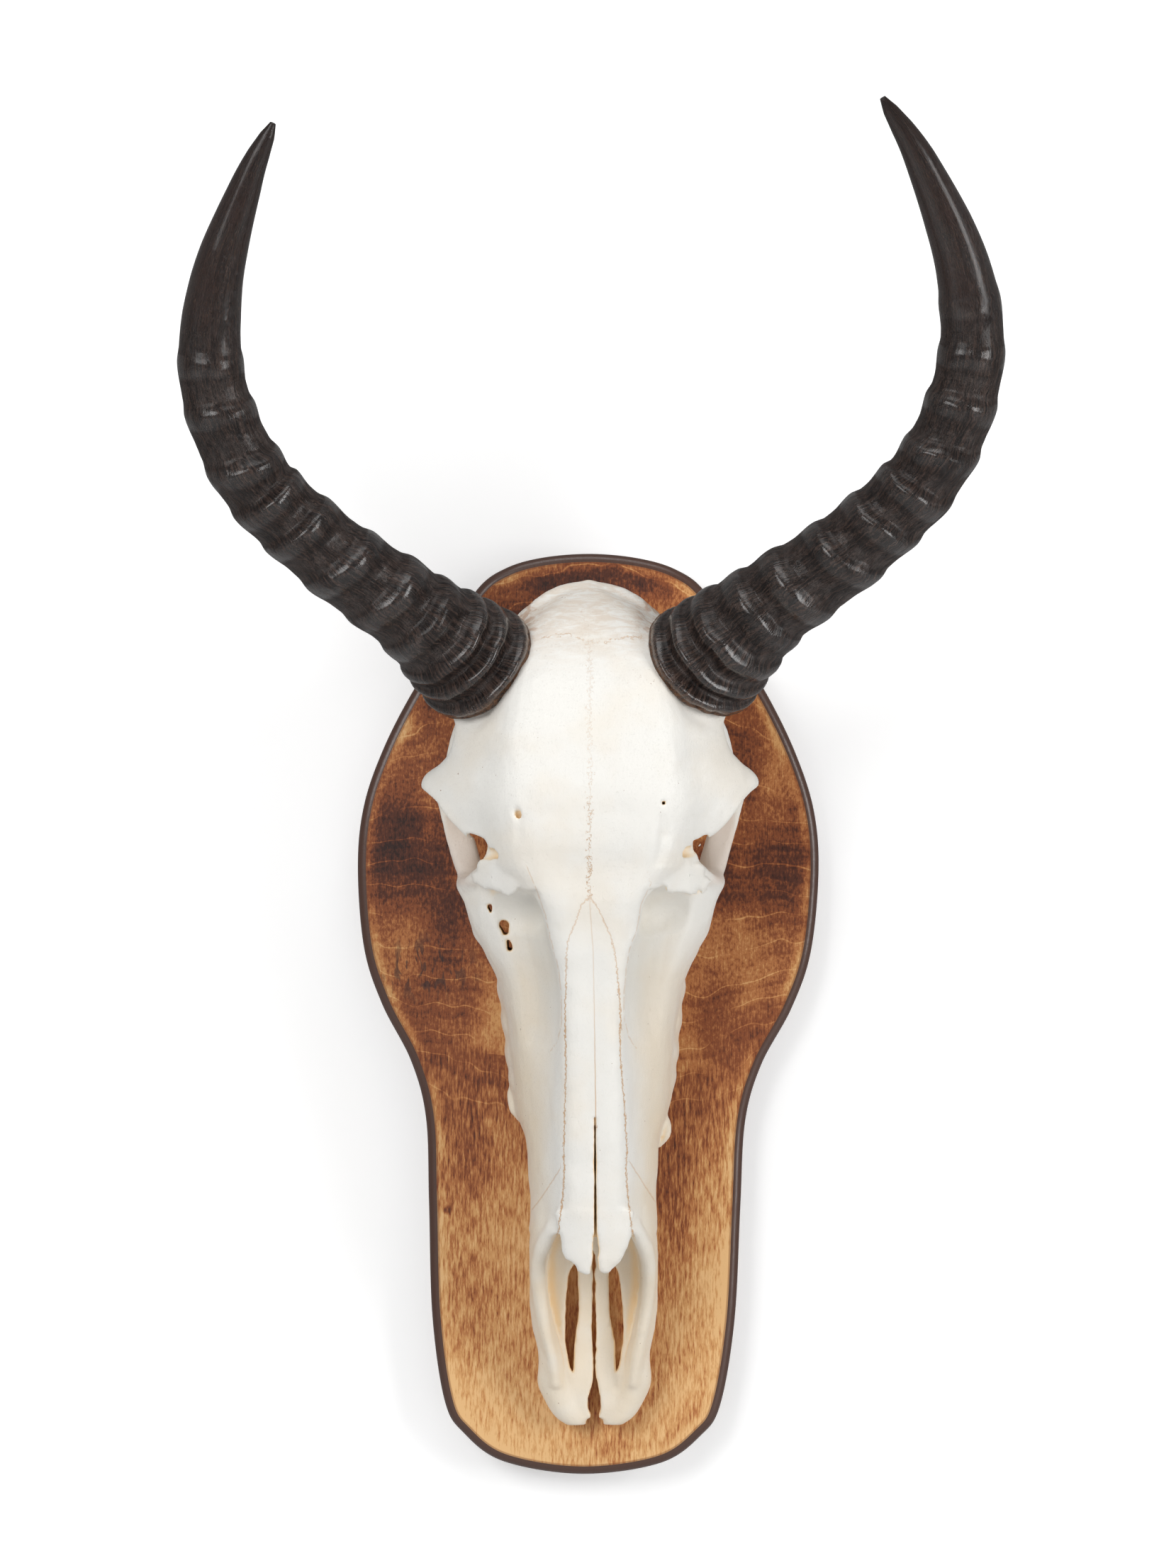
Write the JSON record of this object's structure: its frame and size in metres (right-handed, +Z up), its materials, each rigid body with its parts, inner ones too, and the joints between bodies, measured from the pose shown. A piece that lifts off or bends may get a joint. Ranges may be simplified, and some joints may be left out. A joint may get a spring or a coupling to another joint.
{
  "type": "antelope skull mount",
  "caption": "Long-faced antelope skull with ringed crescent horns, screwed to a keyhole-shaped stained wooden wall board.",
  "frame": {"origin": "centre of the board's flat back face, which lies against the wall", "axes": "+X to the viewer's right, +Y into the wall, +Z up; the skull stands out along -Y"},
  "size_m": [0.3618, 0.1893, 0.6172],
  "materials": {
    "stained_wood": "stained maple under satin varnish, dark rounded edge",
    "bone": "dry bleached bone, matte, warmer at the muzzle and nape",
    "horn": "dark keratin with fine lengthwise fibres, satin to glossy towards the tips",
    "tooth": "worn enamel with brown staining",
    "screw_steel": "plain zinc-plated steel"
  },
  "bodies": {
    "root": {"plaque": "stained_wood", "skull": "bone", "horn_left": "horn", "horn_right": "horn", "cheek_tooth_left_1": "tooth", "cheek_tooth_left_2": "tooth", "cheek_tooth_left_3": "tooth", "cheek_tooth_left_4": "tooth", "cheek_tooth_left_5": "tooth", "cheek_tooth_left_6": "tooth", "cheek_tooth_right_1": "tooth", "cheek_tooth_right_2": "tooth", "cheek_tooth_right_3": "tooth", "cheek_tooth_right_4": "tooth", "cheek_tooth_right_5": "tooth", "cheek_tooth_right_6": "tooth", "screw_upper": "screw_steel", "screw_lower": "screw_steel"}
  },
  "joints": []
}
